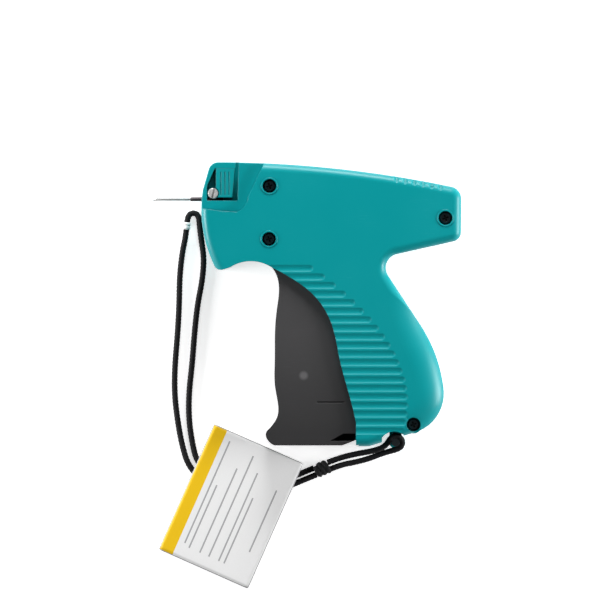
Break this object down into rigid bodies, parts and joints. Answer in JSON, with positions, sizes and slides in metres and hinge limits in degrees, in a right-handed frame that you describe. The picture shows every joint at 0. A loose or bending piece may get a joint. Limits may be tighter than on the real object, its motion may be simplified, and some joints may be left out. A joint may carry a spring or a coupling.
{
  "type": "garment tag attacher",
  "caption": "Pistol-shaped hand tool that pushes plastic fasteners through cloth with a slotted needle, with a pulled trigger, an ejector slide, a wrist strap and a card.",
  "frame": {"origin": "on the right side face that the tool lies on, under the trigger pivot", "axes": "+X from the needle towards the rear, +Y from the foot of the grip towards the top edge, +Z from the right side to the left side"},
  "size_m": [0.1516, 0.2092, 0.0263],
  "materials": {
    "case_plastic": "satin moulded plastic",
    "trigger_plastic": "matte moulded plastic",
    "inner_plastic": "smooth nylon",
    "plated_steel": "plated",
    "needle_steel": "ground",
    "spring_steel": "drawn wire",
    "strap_cord": "braided",
    "white_plastic": "matte",
    "card": "coated card"
  },
  "bodies": {
    "case": {"left_shell": "case_plastic", "right_shell": "case_plastic", "case_screws": "plated_steel", "lever_pin": "plated_steel", "return_spring": "spring_steel", "needle": "needle_steel", "needle_hub": "inner_plastic", "knife": "needle_steel", "needle_housing": "case_plastic", "feed_wheel_axle": "plated_steel", "detent_spring": "spring_steel", "strap_pin": "plated_steel", "strap_neck": "strap_cord", "strap_knot": "strap_cord", "strap_loop_left": "strap_cord", "strap_loop_right": "strap_cord", "strap_joiner": "white_plastic", "hang_card": "card"},
    "trigger": {"trigger": "trigger_plastic", "feed_pawl": "inner_plastic"},
    "drive_lever": {"drive_lever": "inner_plastic", "cross_pin": "plated_steel"},
    "ejector": {"ejector_slide": "inner_plastic", "ejector_rod": "spring_steel", "rod_screw": "plated_steel"},
    "lock_screw": {"needle_lock_screw": "plated_steel"},
    "feed_wheel": {"feed_wheel": "inner_plastic"}
  },
  "joints": [
    {"name": "trigger_pull", "type": "hinge", "parent": "case", "child": "trigger", "pos_m": [0, 0, 0.013], "axis": [0, 0, 1], "range_deg": [0, 20], "stiffness_Nm_per_rad": 2.2, "springref_deg": -5.73},
    {"name": "lever_swing", "type": "hinge", "parent": "case", "child": "drive_lever", "pos_m": [0.0573, -0.0363, 0.013], "axis": [0, 0, 1], "range_deg": [0, 44.27], "deforming": ["return_spring"]},
    {"name": "ejector_travel", "type": "slide", "parent": "case", "child": "ejector", "axis": [-1, 0, 0], "range_m": [0, 0.044]},
    {"name": "lock_screw_turn", "type": "hinge", "parent": "case", "child": "lock_screw", "pos_m": [-0.0274, 0.0224, 0.0225], "axis": [0, 0, 1], "range_deg": [0, 90]},
    {"name": "feed_wheel_turn", "type": "hinge", "parent": "case", "child": "feed_wheel", "pos_m": [-0.0066, 0.0156, 0.0098], "axis": [0, 0, 1], "continuous": true}
  ],
  "couplings": [
    {"joint": "lever_swing", "follows": "trigger_pull", "ratio": 2.213},
    {"joint": "ejector_travel", "follows": "trigger_pull", "m_per_rad": 0.12605}
  ]
}
